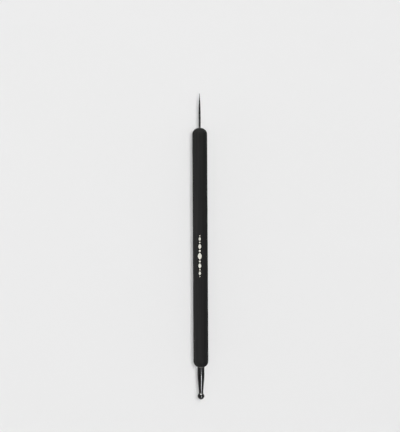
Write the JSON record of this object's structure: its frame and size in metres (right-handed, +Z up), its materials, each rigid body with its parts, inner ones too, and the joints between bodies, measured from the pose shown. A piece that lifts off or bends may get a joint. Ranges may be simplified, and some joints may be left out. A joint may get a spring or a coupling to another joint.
{
  "type": "embossing stylus",
  "caption": "Double-ended embossing stylus: a round black wooden handle with a fine needle point at one end and a tapered steel stem with a ball tip at the other.",
  "frame": {"origin": "on the table, under the middle of the stylus's length, as it lies on its side", "axes": "+Y along the stylus towards the needle's tip, +Z up from the table, +X to the right"},
  "size_m": [0.0114, 0.2316, 0.0113],
  "materials": {
    "painted_wood": "matte",
    "needle_steel": "satin",
    "stem_steel": "polished",
    "ball_steel": "polished",
    "braze_metal": "satin",
    "clear_glue": "gloss"
  },
  "bodies": {
    "root": {"handle": "painted_wood", "needle": "needle_steel", "needle_glue": "clear_glue", "ball_stem": "stem_steel", "stem_glue": "clear_glue", "ball": "ball_steel", "ball_braze": "braze_metal"}
  },
  "joints": []
}
